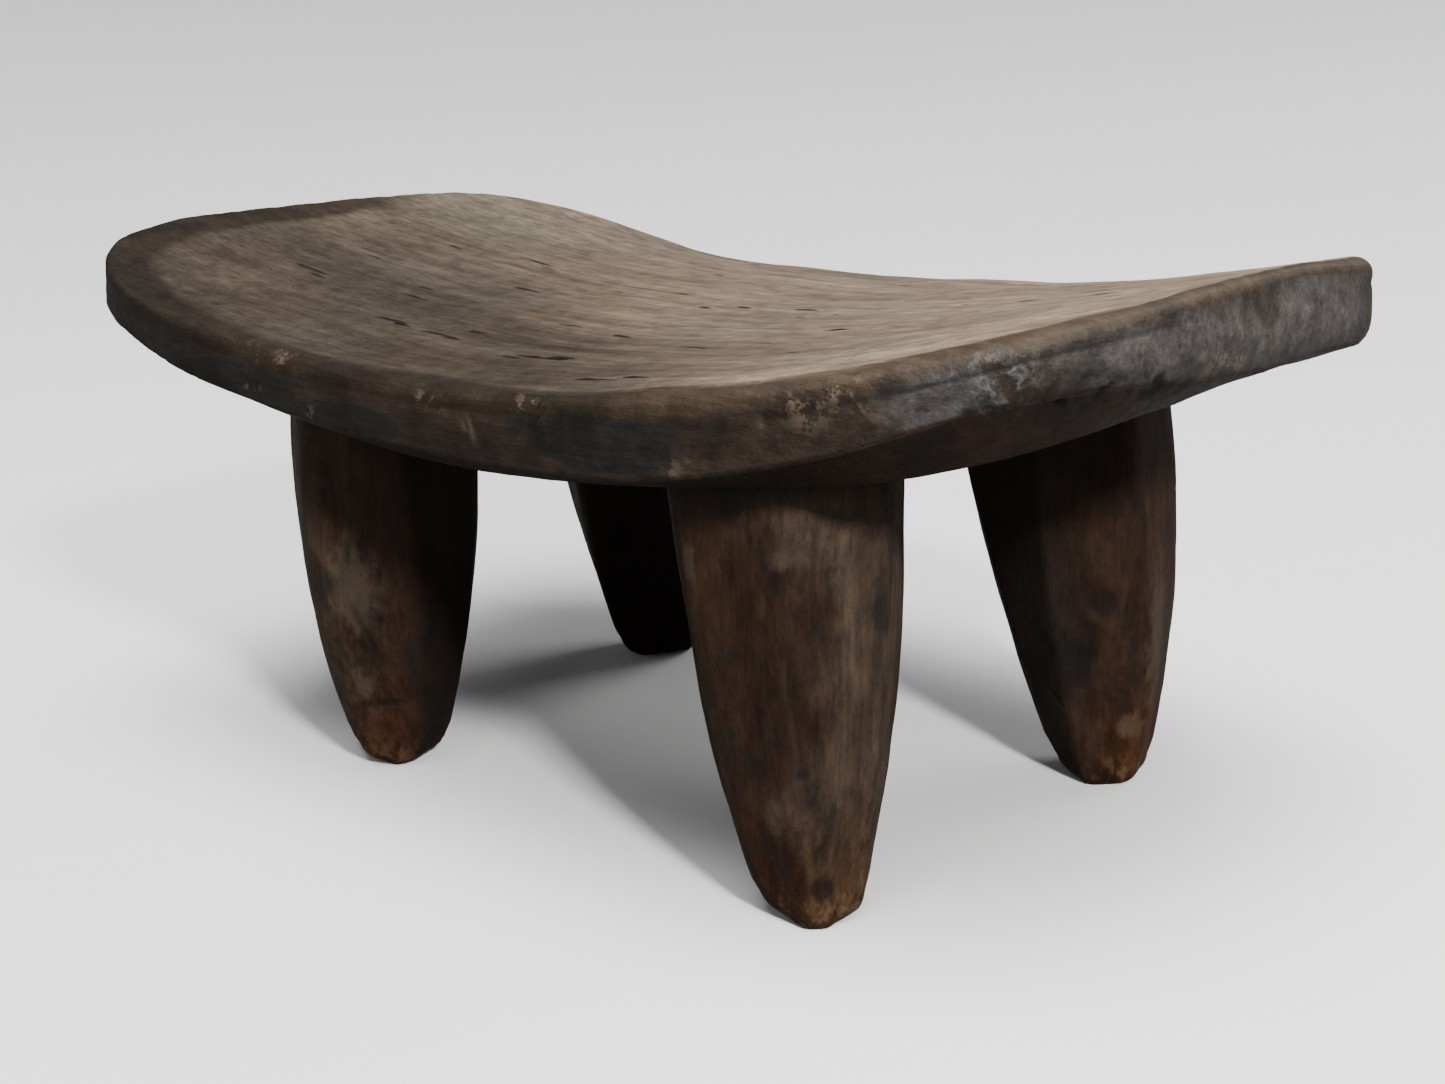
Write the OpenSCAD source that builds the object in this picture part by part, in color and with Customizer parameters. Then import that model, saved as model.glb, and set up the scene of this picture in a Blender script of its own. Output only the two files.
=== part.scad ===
// A low four-legged stool carved from one block of wood: a saddle-shaped seat board with
// worn edges on four bulging, tapered legs. The origin is on the floor under the middle of
// the seat. +X runs along the seat, +Y across it and +Z up. Sizes are in millimetres.

/* [Seat] */
// Length of the seat from end to end
seat_l = 540; // [480:5:600]
// Width of the seat at its middle
seat_w = 330; // [300:5:370]
// Height of the lowest part of the seat's top above the floor
seat_h = 208; // [190:1:230]
// How far the left end rises above the lowest part
rise_left = 36; // [20:1:50]
// How far the right end rises above the lowest part
rise_right = 38; // [20:1:50]
// How the top curves up to its ends: 2 is a parabola, and more is flatter in the middle
sag_power = 1.9; // [1.6:0.1:2.6]
// How far the long edges fall below the middle line
crown = 7; // [0:1:9]
// Squareness of the left corners in plan, where 2 is an ellipse
square_left = 5.0; // [2.6:0.1:5.4]
// Squareness of the right corners in plan, where 2 is an ellipse
square_right = 3.4; // [2.6:0.1:5.4]

/* [Rim] */
// Radius of the worn round along the top edge
edge_r = 10; // [6:1:14]
// Height of the rim's side below the round, at the middle of the seat
side_h = 13; // [10:1:18]
// How much taller the side is at the right end, and lower at the left end
side_gain = 4; // [0:1:6]
// How far the side leans in towards its lower edge
side_lean = 2; // [1:1:8]
// Width of the bevel under the side
bevel_w = 19; // [12:1:30]
// Height of the bevel
bevel_h = 13; // [6:1:16]
// How much lower the middle of the underside is carved than its edge
belly = 4; // [0:1:8]

/* [Legs] */
// Distance of the legs' tops from the middle, along the seat
top_x = 118; // [100:1:130]
// Distance of the legs' tops from the middle, across the seat
top_y = 89; // [80:1:100]
// Distance of the feet from the middle, along the seat
foot_x = 134; // [110:1:150]
// Distance of the feet from the middle, across the seat
foot_y = 94; // [80:1:110]
// Radius of a leg where it meets the seat
leg_r = 44; // [36:1:50]
// Radius of a leg just above its foot
foot_r = 19; // [16:1:26]
// How far a leg swells halfway up, beyond a straight taper
swell = 7; // [0:1:10]
// Width of the worn bevel round a foot
foot_wear = 5; // [2:1:8]

/* [Hidden] */

// How each hand-cut leg differs from the others: its top's x and y and its foot's x and y,
// counted outwards from the middle of the stool, then its top's radius and its swell.
OWN_FRONT_LEFT = [0, -4, -9, -12, -3, 1];
OWN_FRONT_RIGHT = [-4, 2, -3, 3, 1, -2];
OWN_REAR_RIGHT = [4, 4, 13, -1, 1, 0];
OWN_REAR_LEFT = [3, -3, -1, 11, 1, 2];

AROUND = 96;      // points round the seat
TOP_RINGS = 10;   // rings of points from the seat's middle to its rim
ROUND_STEPS = 5;  // steps round the worn top edge
UNDER_RINGS = 8;  // rings from the bevel to the middle of the underside
LEG_AROUND = 40;  // points round a leg
LEG_STEPS = 20;   // steps up a leg
LET_IN = 0.2;     // how far a leg runs into the board, so that the two meet all over

DIRECTIONS = [for (i = [0 : AROUND - 1]) 360 * i / AROUND]; // of the points round the seat
under_l = seat_l - 2 * (side_lean + bevel_w); // length of the underside within the bevel
under_w = seat_w - 2 * (side_lean + bevel_w); // width of the underside within the bevel
WOOD = [0.24, 0.17, 0.13];
DARK_WOOD = [0.19, 0.13, 0.10];

// Height of the seat's top at a place in plan
function top_z(x, y) =
    seat_h
    + (x < 0 ? rise_left : rise_right) * pow(abs(2 * x / seat_l), sag_power)
    - crown * pow(2 * y / seat_w, 2);

// How far the side's lower edge lies below the top at a place along the seat
function side_drop(x) = edge_r + side_h + side_gain * 2 * x / seat_l;

// Height of the board's underside at a place in plan
function under_z(x, y) =
    let (
        n = x < 0 ? square_left : square_right,
        share = pow(pow(abs(2 * x / under_l), n) + pow(abs(2 * y / under_w), n), 1 / n)
    )
    top_z(x, y) - side_drop(x) - bevel_h - belly * (1 - share * share);

// How far the outline reaches in a direction, on a square scale of 1 to the sides
function reach(angle) =
    let (n = cos(angle) < 0 ? square_left : square_right)
    pow(pow(abs(cos(angle)), n) + pow(abs(sin(angle)), n), -1 / n);

// A place in plan: the outline in a direction, moved in by inset and shrunk by share
function spot(angle, inset, share = 1) =
    share * reach(angle)
    * [(seat_l / 2 - inset) * cos(angle), (seat_w / 2 - inset) * sin(angle)];

// The rings from the middle of the top, round the rim, to the middle of the underside
function seat_rings() = [
    for (i = [1 : TOP_RINGS])
        [for (a = DIRECTIONS) let (p = spot(a, edge_r, i / TOP_RINGS)) [p.x, p.y, top_z(p.x, p.y)]],
    for (i = [1 : ROUND_STEPS])
        let (turn = 90 * i / ROUND_STEPS, drop = edge_r * (1 - cos(turn)))
        [
            for (a = DIRECTIONS)
                let (p = spot(a, edge_r * (1 - sin(turn))))
                [p.x, p.y, top_z(p.x, p.y) - drop]
        ],
    [for (a = DIRECTIONS) let (p = spot(a, side_lean)) [p.x, p.y, top_z(p.x, p.y) - side_drop(p.x)]],
    for (i = [0 : UNDER_RINGS - 1])
        [
            for (a = DIRECTIONS)
                let (p = spot(a, side_lean + bevel_w, 1 - i / UNDER_RINGS))
                [p.x, p.y, under_z(p.x, p.y)]
        ]
];

// A closed skin over rings of equal length, with a point to close each end
module skin(rings, first, last) {
    count = len(rings[0]);
    points = concat([first], [for (r = rings) each r], [last]);
    end = len(points) - 1;
    polyhedron(points, concat(
        [for (i = [0 : count - 1]) [0, 1 + i, 1 + (i + 1) % count]],
        [
            for (k = [0 : len(rings) - 2], i = [0 : count - 1])
                let (
                    a = 1 + k * count + i,
                    b = 1 + k * count + (i + 1) % count
                )
                each [[a, a + count, b], [b, a + count, b + count]]
        ],
        [
            for (i = [0 : count - 1])
                [end, end - count + (i + 1) % count, end - count + i]
        ]
    ));
}

module board() {
    skin(seat_rings(), [0, 0, top_z(0, 0)], [0, 0, under_z(0, 0)]);
}

// A leg's ring of points at a share of its height, from the foot at 0 to the top at 1.
// Each line of points up the leg ends on the underside of the board.
function leg_ring(foot, top, r_top, bulge, share, wear = 0) =
    let (
        centre = foot + (top - foot) * share,
        r = foot_r + (r_top - foot_r) * share + bulge * 4 * share * (1 - share) - wear
    )
    [
        for (i = [LEG_AROUND : -1 : 1])
            let (
                way = [cos(360 * i / LEG_AROUND), sin(360 * i / LEG_AROUND)],
                meets = top + r_top * way,
                height = under_z(meets.x, meets.y) + LET_IN
            )
            [centre.x + r * way.x, centre.y + r * way.y, height * share]
    ];

// The leg's top face: rings shrinking to the middle, lying on the underside of the board
function leg_top(top, r_top) = [
    for (shrink = [0.7, 0.35])
        [
            for (p = leg_ring(top, top, r_top, 0, 1))
                let (x = top.x + (p.x - top.x) * shrink, y = top.y + (p.y - top.y) * shrink)
                [x, y, under_z(x, y) + LET_IN]
        ]
];

// The leg at a corner, given by its side in x and y and its own differences
module leg(side_x, side_y, own) {
    top = [side_x * (top_x + own[0]), side_y * (top_y + own[1])];
    foot = [side_x * (foot_x + own[2]), side_y * (foot_y + own[3])];
    r_top = leg_r + own[4];
    bulge = swell + own[5];
    middle_z = under_z(top.x, top.y) + LET_IN;
    worn = foot_wear / middle_z;
    skin(
        concat(
            [leg_ring(foot, top, r_top, bulge, 0, foot_wear)],
            [leg_ring(foot, top, r_top, bulge, worn / 2, foot_wear * 0.3)],
            [
                for (i = [0 : LEG_STEPS])
                    leg_ring(foot, top, r_top, bulge, worn + (1 - worn) * i / LEG_STEPS)
            ],
            leg_top(top, r_top)
        ),
        [foot.x, foot.y, 0],
        [top.x, top.y, middle_z]
    );
}

module seat() {
    color(WOOD) board();
}

module leg_front_left() {
    color(DARK_WOOD) leg(-1, -1, OWN_FRONT_LEFT);
}

module leg_front_right() {
    color(DARK_WOOD) leg(1, -1, OWN_FRONT_RIGHT);
}

module leg_rear_right() {
    color(DARK_WOOD) leg(1, 1, OWN_REAR_RIGHT);
}

module leg_rear_left() {
    color(DARK_WOOD) leg(-1, 1, OWN_REAR_LEFT);
}

seat();
leg_front_left();
leg_front_right();
leg_rear_right();
leg_rear_left();
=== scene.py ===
import itertools
import math

import bpy
import numpy as np
from mathutils import Euler, Matrix, Vector


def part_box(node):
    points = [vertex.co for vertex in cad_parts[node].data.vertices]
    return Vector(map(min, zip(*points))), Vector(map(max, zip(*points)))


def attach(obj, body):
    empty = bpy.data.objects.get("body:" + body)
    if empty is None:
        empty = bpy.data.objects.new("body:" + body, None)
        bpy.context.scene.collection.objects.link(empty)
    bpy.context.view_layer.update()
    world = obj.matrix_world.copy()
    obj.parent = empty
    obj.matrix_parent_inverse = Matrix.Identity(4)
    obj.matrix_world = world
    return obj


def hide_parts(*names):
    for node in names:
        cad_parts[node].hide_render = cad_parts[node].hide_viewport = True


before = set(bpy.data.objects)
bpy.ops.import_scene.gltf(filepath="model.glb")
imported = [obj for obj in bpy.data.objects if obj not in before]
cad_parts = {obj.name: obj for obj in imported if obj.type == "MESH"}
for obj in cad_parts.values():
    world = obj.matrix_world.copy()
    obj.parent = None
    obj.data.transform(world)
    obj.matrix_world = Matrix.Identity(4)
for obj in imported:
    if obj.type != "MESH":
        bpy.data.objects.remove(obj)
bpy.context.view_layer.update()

# The stool is carved from one block of dark wood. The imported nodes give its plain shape;
# this script carves each of them again in fine detail, and adds the wood, light and camera.
# Shapes are worked out in millimetres and turned to metres when a mesh is made.
MM = 0.001

# -------------------- the seat's driving sizes
seat_low, seat_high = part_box("seat")
SEAT_L = (seat_high[0] - seat_low[0]) / MM
SEAT_W = (seat_high[1] - seat_low[1]) / MM
SEAT_H = 208.0            # lowest part of the top above the floor
RISE_LEFT, RISE_RIGHT = 36.0, 38.0
SAG_POWER = 1.9
CROWN = 7.0               # how far the long edges fall below the middle line
SQUARE_LEFT, SQUARE_RIGHT = 5.0, 3.4
EDGE = 9.0                # how far the worn round reaches in and down from the rim
EDGE_IN_LEFT = 0.6        # share of that reach inwards that is missing at the left end
EDGE_DOWN_LEFT = 4.5      # how much less it reaches down at the left end
EDGE_DOWN_RIGHT = 2.5     # and at the front of the right end
SIDE_DROP, SIDE_GAIN = 23.0, 4.0  # the side's depth at the middle, and its gain at the right
SIDE_LEAN = 2.0
TUCK = 5.0                # how far the side turns in at its foot at the right end
BEVEL_W, BEVEL_H = 19.0, 13.0
BEVEL_LEAST = 2.5         # least height of the bevel
BELLY = 4.0               # how much lower the middle of the underside is carved

# Where the hand-cut board departs from those rules: x, y, reach along, reach across, and by
# how much. First its whole thickness, upwards.
HUMPS = [
    (-140, 165, 66, 80, -3.6), (0, 165, 85, 80, 2.2), (268, 75, 60, 60, -2.8),
    (-272, 20, 46, 70, -2.0),
]
# How much lower the crease between the side and the bevel is cut.
CREASE = [
    (90, -165, 80, 60, 3.5), (245, -135, 62, 62, -9.0), (278, 30, 75, 95, 8.0),
    (-275, -40, 80, 160, -1.0), (-215, -150, 50, 45, -2.0),
]
CREASE_ALL = 2.5          # and all round
# How much lower the underside is cut.
DEEPER = [(-20, -150, 90, 60, 1.7), (190, -120, 50, 50, 2.6), (285, 60, 60, 110, -4.0)]
# How far the outline bulges beyond its rule.
BULGES = [(-255, -135, 45, 50, -0.5)]
# How far the foot of the side stands out, at the near left corner and at the right end.
STANDS_OUT = [(-255, -135, 60, 60, 3.2), (275, 20, 45, 120, 5.5)]

# -------------------- the legs' driving sizes
LEG_R, FOOT_R, SWELL, FOOT_WEAR = 44.0, 19.0, 7.0, 5.0
TOP_X, TOP_Y, FOOT_X, FOOT_Y = 118.0, 89.0, 134.0, 94.0

RUNS_IN = 2.0             # how far a leg runs up into the board, out of sight
FOOT_ROUND = 0.45         # how much of the foot's wear shows as a round
SOLE_SLOPE = 0.33         # slope of the soles where they are worn up
SOLE_LIFT, SOLE_FADE = 9.0, 16.0  # most that they are lifted, and the height it fades by
ASIDE = np.array([0.763, 0.646])  # the way in plan that legs bow, lean and slide

# Each leg has its side in x and y, then what it adds to the shared sizes: its top's and
# foot's x and y, counted outwards, its radius and its swell. "bow", "lean" and "slide" are
# how far its middle, its foot and its top lie aside. "wider" and "thick" add to its top's
# radius and to its swell. "flats" are the directions that its long flats face, in degrees
# from the front, and "worn" are the directions in which its sole is worn up, each with how
# far from its foot's middle that begins. "red" is the direction of its reddest side, and
# "seed" is for its own tool marks.
LEGS = {
    "leg_front_left": {
        "side": (-1, -1), "own": (0, -4, -9, -12, -3, 1), "seed": 11,
        "bow": -0.4, "lean": 0.0, "slide": 0.9, "wider": -0.9, "thick": 1.8,
        "flats": (-28, 32, 92, 140, 196, 244, 290),
        "worn": ((-55, -2.0), (120, 4.0)), "red": 80,
    },
    "leg_front_right": {
        "side": (1, -1), "own": (-4, 2, -3, 3, 1, -2), "seed": 23,
        "bow": -0.7, "lean": 0.7, "slide": 1.1, "wider": 0.0, "thick": 0.0,
        "flats": (-52, 6, 70, 118, 170, 222, 268),
        "worn": ((-80, -5.0), (120, 8.0)), "red": -25,
    },
    "leg_rear_right": {
        "side": (1, 1), "own": (4, 4, 13, -1, 1, 0), "seed": 37,
        "bow": 1.7, "lean": 0.0, "slide": -3.6, "wider": 0.7, "thick": -0.4,
        "flats": (-12, 38, 98, 150, 205, 260, 310),
        "worn": ((-60, 6.0), (120, 8.0)), "red": 80,
    },
    "leg_rear_left": {
        "side": (-1, 1), "own": (3, -3, -1, 11, 1, 2), "seed": 41,
        "bow": 0.8, "lean": 2.0, "slide": -2.5, "wider": 0.0, "thick": 0.0,
        "flats": (-40, 15, 75, 130, 190, 240, 290),
        "worn": ((-60, 4.0), (60, 8.0)), "red": 80,
    },
}

# -------------------- mesh resolution
GRAIN_STEPS, CROSS_STEPS = 228, 236   # cells of the top along and across the grain, even
ROUND_RINGS, SIDE_RINGS = 9, 10
BEVEL_SHARES = (0.03, 0.10, 0.22, 0.40, 0.60, 0.80, 0.93)
LEG_AROUND, LEG_UP = 190, 170
FOOT_CROWDING = 1.2       # above 1, a leg's rings crowd together near its foot
CAP_RINGS = (0.75, 0.5, 0.25)         # sizes of the rings in a leg's sole and top


# ==================== noise and small helpers
def cell_value(cells, seed):
    """A repeatable number from -1 to 1 for each whole-number cell."""
    h = cells[:, 0] * 374761393 + cells[:, 1] * 668265263 + cells[:, 2] * 1442695041
    h = (h + seed * 974634777) & 0xFFFFFFFF
    h = ((h ^ (h >> 13)) * 1274126177) & 0xFFFFFFFF
    return ((h ^ (h >> 16)) & 0xFFFF) / 32767.5 - 1.0


def noise(points, sizes, seed):
    """Smooth noise from -1 to 1 at each point, with lumps as large as sizes says."""
    at = points / np.asarray(sizes, float) + seed * 0.37
    base = np.floor(at).astype(np.int64)
    t = at - base
    t = t * t * (3.0 - 2.0 * t)
    total = np.zeros(len(points))
    for corner in itertools.product((0, 1), repeat=3):
        share = np.prod(np.where(corner, t, 1.0 - t), axis=1)
        total += share * cell_value(base + np.array(corner), seed)
    return total


ASKEW = np.array(Euler((0.5, 0.7, 0.9)).to_matrix())


def lumps(points, size, seed):
    """Noise of one size in every direction, with half as much at half the size."""
    turned = points @ ASKEW
    return (noise(turned, (size,) * 3, seed) + 0.5 * noise(turned, (size / 2,) * 3, seed + 90)) / 1.5


def layered(points, layers, seed=0):
    """Layers of noise added up. A layer is the size of its lumps, or three sizes for lumps
    drawn out along an axis, then its seed and its height."""
    total = np.zeros(len(points))
    for size, own_seed, height in layers:
        make = noise if isinstance(size, tuple) else lumps
        total += height * make(points, size, seed + own_seed)
    return total


def ramp(value, low, high):
    """0 below low, 1 above high, and smooth between."""
    t = np.clip((value - low) / (high - low), 0.0, 1.0)
    return t * t * (3.0 - 2.0 * t)


MARK_FALL = 2.5           # how fast a mark fades out
LINE_WIDTH = 1.5          # how wide a line is for its reach


def bump_at(points, centre, reach):
    """1 at a centre, falling smoothly to almost 0 one reach away."""
    away = np.linalg.norm((points - np.asarray(centre, float)) / np.asarray(reach, float), axis=1)
    return np.exp(-MARK_FALL * away * away)


def line_at(points, start, end, reach):
    """1 along a line, fading at its ends and to its sides."""
    start = np.array(start, float)
    along = np.array(end, float) - start
    share = np.clip((points - start) @ along / (along @ along), 0, 1)
    away = np.linalg.norm(points - start - share[:, None] * along, axis=1)
    away /= LINE_WIDTH * reach
    taper = np.sqrt(np.clip(1.1 - np.abs(2 * share - 1), 0, 1))
    return np.exp(-MARK_FALL * away * away) * taper


def marks_on(points, marks):
    """The strongest of several marks at each point. A mark is a place and a reach, or the two
    ends of a line and a reach."""
    strongest = np.zeros(len(points))
    for *ends, reach in marks:
        shape = bump_at(points, *ends, reach) if len(ends) == 1 else line_at(points, *ends, reach)
        strongest = np.maximum(strongest, shape)
    return strongest


def make_piece(name, points, faces):
    """A mesh object of points in millimetres, with smooth shading."""
    mesh = bpy.data.meshes.new(name)
    mesh.from_pydata((points * MM).tolist(), [], faces)
    mesh.polygons.foreach_set("use_smooth", [True] * len(mesh.polygons))
    piece = bpy.data.objects.new(name, mesh)
    bpy.context.scene.collection.objects.link(piece)
    return piece


def normals_of(piece):
    found = np.empty(len(piece.data.vertices) * 3)
    piece.data.vertex_normals.foreach_get("vector", found)
    return found.reshape(-1, 3)


def set_points(piece, points):
    piece.data.vertices.foreach_set("co", (points * MM).ravel())
    piece.data.update()


def add_mask(piece, name, values):
    """Stores a number for each point, which the materials read by name."""
    layer = piece.data.attributes.new(name, "FLOAT", "POINT")
    layer.data.foreach_set("value", np.asarray(values, np.float32))


# ==================== the seat's plain shape
def departure(x, y, places):
    """What several soft humps or hollows add at a place in plan."""
    total = np.zeros(np.shape(x))
    for at_x, at_y, reach_x, reach_y, amount in places:
        away = ((x - at_x) / reach_x) ** 2 + ((y - at_y) / reach_y) ** 2
        total = total + amount * np.exp(-away)
    return total


def top_z(x, y):
    """Height of the seat's top."""
    rise = np.where(x < 0, RISE_LEFT, RISE_RIGHT)
    sag = rise * np.abs(2 * x / SEAT_L) ** SAG_POWER
    return SEAT_H + sag - CROWN * (2 * y / SEAT_W) ** 2 + departure(x, y, HUMPS)


def crease_drop(x, y):
    """How far the lower edge of the side lies below the top."""
    lower = CREASE_ALL + departure(x, y, CREASE)
    rule = SIDE_DROP + SIDE_GAIN * 2 * x / SEAT_L
    return np.minimum(rule + lower, whole_drop(x, y) - BEVEL_LEAST)


def whole_drop(x, y):
    """The board's thickness at the foot of the bevel."""
    return SIDE_DROP + SIDE_GAIN * 2 * x / SEAT_L + BEVEL_H + departure(x, y, DEEPER)


def outline_share(x, y, inset=0.0):
    """How far out a place in plan lies: 0 in the middle and 1 on the outline, moved inset in."""
    square = np.where(x < 0, SQUARE_LEFT, SQUARE_RIGHT)
    along = np.abs(x / (SEAT_L / 2 - inset)) ** square
    across = np.abs(y / (SEAT_W / 2 - inset)) ** square
    return (along + across) ** (1 / square)


def under_z(x, y):
    """Height of the seat's underside within the bevel."""
    share = outline_share(x, y, SIDE_LEAN + BEVEL_W)
    return top_z(x, y) - whole_drop(x, y) - BELLY * (1 - share**2)


def plan_grid(columns, rows):
    """The seat's outline as a square grid pulled out to it: unit x and y, row by row."""
    s, t = np.meshgrid(np.linspace(-1, 1, columns + 1), np.linspace(-1, 1, rows + 1))
    square = np.where(s < 0, SQUARE_LEFT, SQUARE_RIGHT)
    x = s * (1 - np.abs(t) ** square / 2) ** (1 / square)
    y = t * (1 - np.abs(s) ** square / 2) ** (1 / square)
    return np.column_stack([x.ravel(), y.ravel()]), np.arange(x.size).reshape(x.shape)


def left_end(x):
    """1 at the left end of the seat, falling to 0 towards the middle."""
    return ramp(-x, 110, 230)


def edge_reach(unit):
    """How far the worn round reaches in from the rim: less at the left end."""
    return EDGE * (1 - EDGE_IN_LEFT * left_end(unit[:, 0] * SEAT_L / 2))


def border_of(grid):
    """A grid's border points, in order round it."""
    return np.concatenate([grid[0, :-1], grid[:-1, -1], grid[-1, :0:-1], grid[:0:-1, 0]])


def quads_of(grid):
    corners = [grid[:-1, :-1], grid[:-1, 1:], grid[1:, 1:], grid[1:, :-1]]
    return np.stack(corners, axis=-1).reshape(-1, 4)


def rim_points(unit, round_turn, side_share, bevel_share):
    """One ring of the rim: some way round the top edge, down the side and along the bevel."""
    inset = edge_reach(unit) * (1 - math.sin(round_turn) ** 0.9)
    inset += BEVEL_W * bevel_share
    plan = unit * (SEAT_L / 2, SEAT_W / 2)
    # The side leans in, except where its foot stands out. At the right end that foot is worn
    # round, so the side turns in only over its last stretch.
    lean = SIDE_LEAN - departure(*plan.T, STANDS_OUT)
    tuck = TUCK * ramp(plan[:, 0], 215, 268)
    inset = inset + lean * side_share * (1 - bevel_share) + SIDE_LEAN * bevel_share
    inset += tuck * side_share**6 * (1 - bevel_share)
    x = unit[:, 0] * (SEAT_L / 2 - inset)
    y = unit[:, 1] * (SEAT_W / 2 - inset)
    edge = EDGE - EDGE_DOWN_RIGHT * ramp(x, 150, 250) * (1 - ramp(y, 0, 80))
    edge -= EDGE_DOWN_LEFT * left_end(x)
    crease, whole = crease_drop(x, y), whole_drop(x, y)
    fall = edge * (1 - math.cos(round_turn) ** 0.9)
    fall = fall + (crease - edge) * side_share + (whole - crease) * bevel_share
    return np.column_stack([x, y, top_z(x, y) - fall])


def seat_shape():
    """Points and faces of the whole board, with how far round the rim each point is: 0 on
    the top, 1 at the foot of the top's round, 2 at the crease and 3 from the foot of the
    bevel inwards. The underside has half as many lines each way as the top."""
    unit, grid = plan_grid(GRAIN_STEPS, CROSS_STEPS)
    inset = edge_reach(unit)
    x, y = unit[:, 0] * (SEAT_L / 2 - inset), unit[:, 1] * (SEAT_W / 2 - inset)
    parts = [np.column_stack([x, y, top_z(x, y)])]
    rim = [np.zeros(len(unit))]
    border = border_of(grid)
    loops = [border]
    start = len(unit)
    sections = [(math.radians(90) * i / ROUND_RINGS, 0, 0) for i in range(1, ROUND_RINGS + 1)]
    sections += [(math.radians(90), i / SIDE_RINGS, 0) for i in range(1, SIDE_RINGS + 1)]
    sections += [(math.radians(90), 1, share) for share in BEVEL_SHARES]
    for turn, side_share, bevel_share in sections:
        parts.append(rim_points(unit[border], turn, side_share, bevel_share))
        rim.append(np.full(len(border), turn / math.radians(90) + side_share + bevel_share))
        loops.append(start + np.arange(len(border)))
        start += len(border)

    unit, under_grid = plan_grid(GRAIN_STEPS // 2, CROSS_STEPS // 2)
    inset = SIDE_LEAN + BEVEL_W
    x, y = unit[:, 0] * (SEAT_L / 2 - inset), unit[:, 1] * (SEAT_W / 2 - inset)
    parts.append(np.column_stack([x, y, under_z(x, y)]))
    rim.append(np.full(len(unit), 3.0))
    under_grid = under_grid + start

    faces = quads_of(grid).tolist() + quads_of(under_grid)[:, ::-1].tolist()
    for upper, lower in itertools.pairwise(loops):
        ring = [upper, lower, np.roll(lower, -1), np.roll(upper, -1)]
        faces += np.stack(ring, axis=-1).tolist()
    last, inner = loops[-1], border_of(under_grid)
    seam = [np.roll(last, -2)[::2], np.roll(last, -1)[::2], last[::2], inner, np.roll(inner, -1)]
    faces += np.stack(seam, axis=-1).tolist()
    return np.concatenate(parts), faces, np.concatenate(rim), grid


# ==================== drying cracks
# The larger cracks of the top: middle in x and y, length, depth.
CRACKS = [
    (-176, -73, 22, 1.6), (-166, -78, 12, 1.2), (-186, -28, 20, 1.3), (-178, -34, 12, 1.0),
    (-88, -101, 20, 2.0), (-78, -104, 12, 1.6), (-54, -105, 24, 2.6), (-44, -108, 12, 1.8),
    (-45, -93, 11, 2.4), (-121, -52, 12, 1.6), (-112, -67, 20, 1.2), (-175, 15, 11, 1.4),
    (-132, 28, 28, 1.5), (-120, 24, 12, 1.0), (-92, -17, 18, 1.6), (14, -116, 26, 3.0),
    (24, -112, 16, 1.8), (2, -119, 12, 1.6), (13, -67, 12, 1.8), (-19, -62, 15, 1.6),
    (-36, 24, 13, 1.6), (-2, 2, 9, 1.6), (12, 10, 12, 1.9), (43, 16, 15, 2.0),
    (20, 50, 12, 1.6), (30, 53, 9, 1.3), (103, -41, 15, 2.0), (122, -94, 16, 1.2),
    (66, -139, 24, 1.5), (84, -136, 16, 1.2), (-64, 84, 9, 1.4), (-86, 140, 9, 1.4),
    (60, -78, 20, 1.0), (46, -64, 12, 0.9), (150, 20, 20, 1.1), (166, 44, 24, 1.1),
    (140, 74, 22, 1.0), (190, 6, 18, 1.0), (92, 62, 16, 1.2), (118, 108, 20, 1.1),
]
SMALL_CRACKS = 46
CRACK_SEED = 7
MOUTH, MOUTH_GAIN = 0.18, 0.13        # half width of a crack, and its gain with depth
LIP, LIP_GAIN, LIP_MOST = 0.38, 0.17, 0.78  # how dark a crack's lips are, with its depth
LIP_LIFTS = ((1, 0.28), (2, 0.20), (3, 0.1))  # lines behind a crack, and how far they rise
CRACK_MARGIN = 5          # lines at the rim that stay whole
CRACK_DARK = 0.8          # depth from which a crack is fully dark
END_GAP = 0.8             # how much of the lines' spacing is left at a crack's ends


def all_cracks():
    """The larger cracks, and small ones strewn over the top."""
    chance = np.random.default_rng(CRACK_SEED)
    found = list(CRACKS)
    for _ in range(SMALL_CRACKS):
        place = chance.uniform(-225, 235), chance.uniform(-130, 140)
        found.append((*place, chance.uniform(4, 12), chance.uniform(0.4, 1.0)))
    return found


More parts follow.
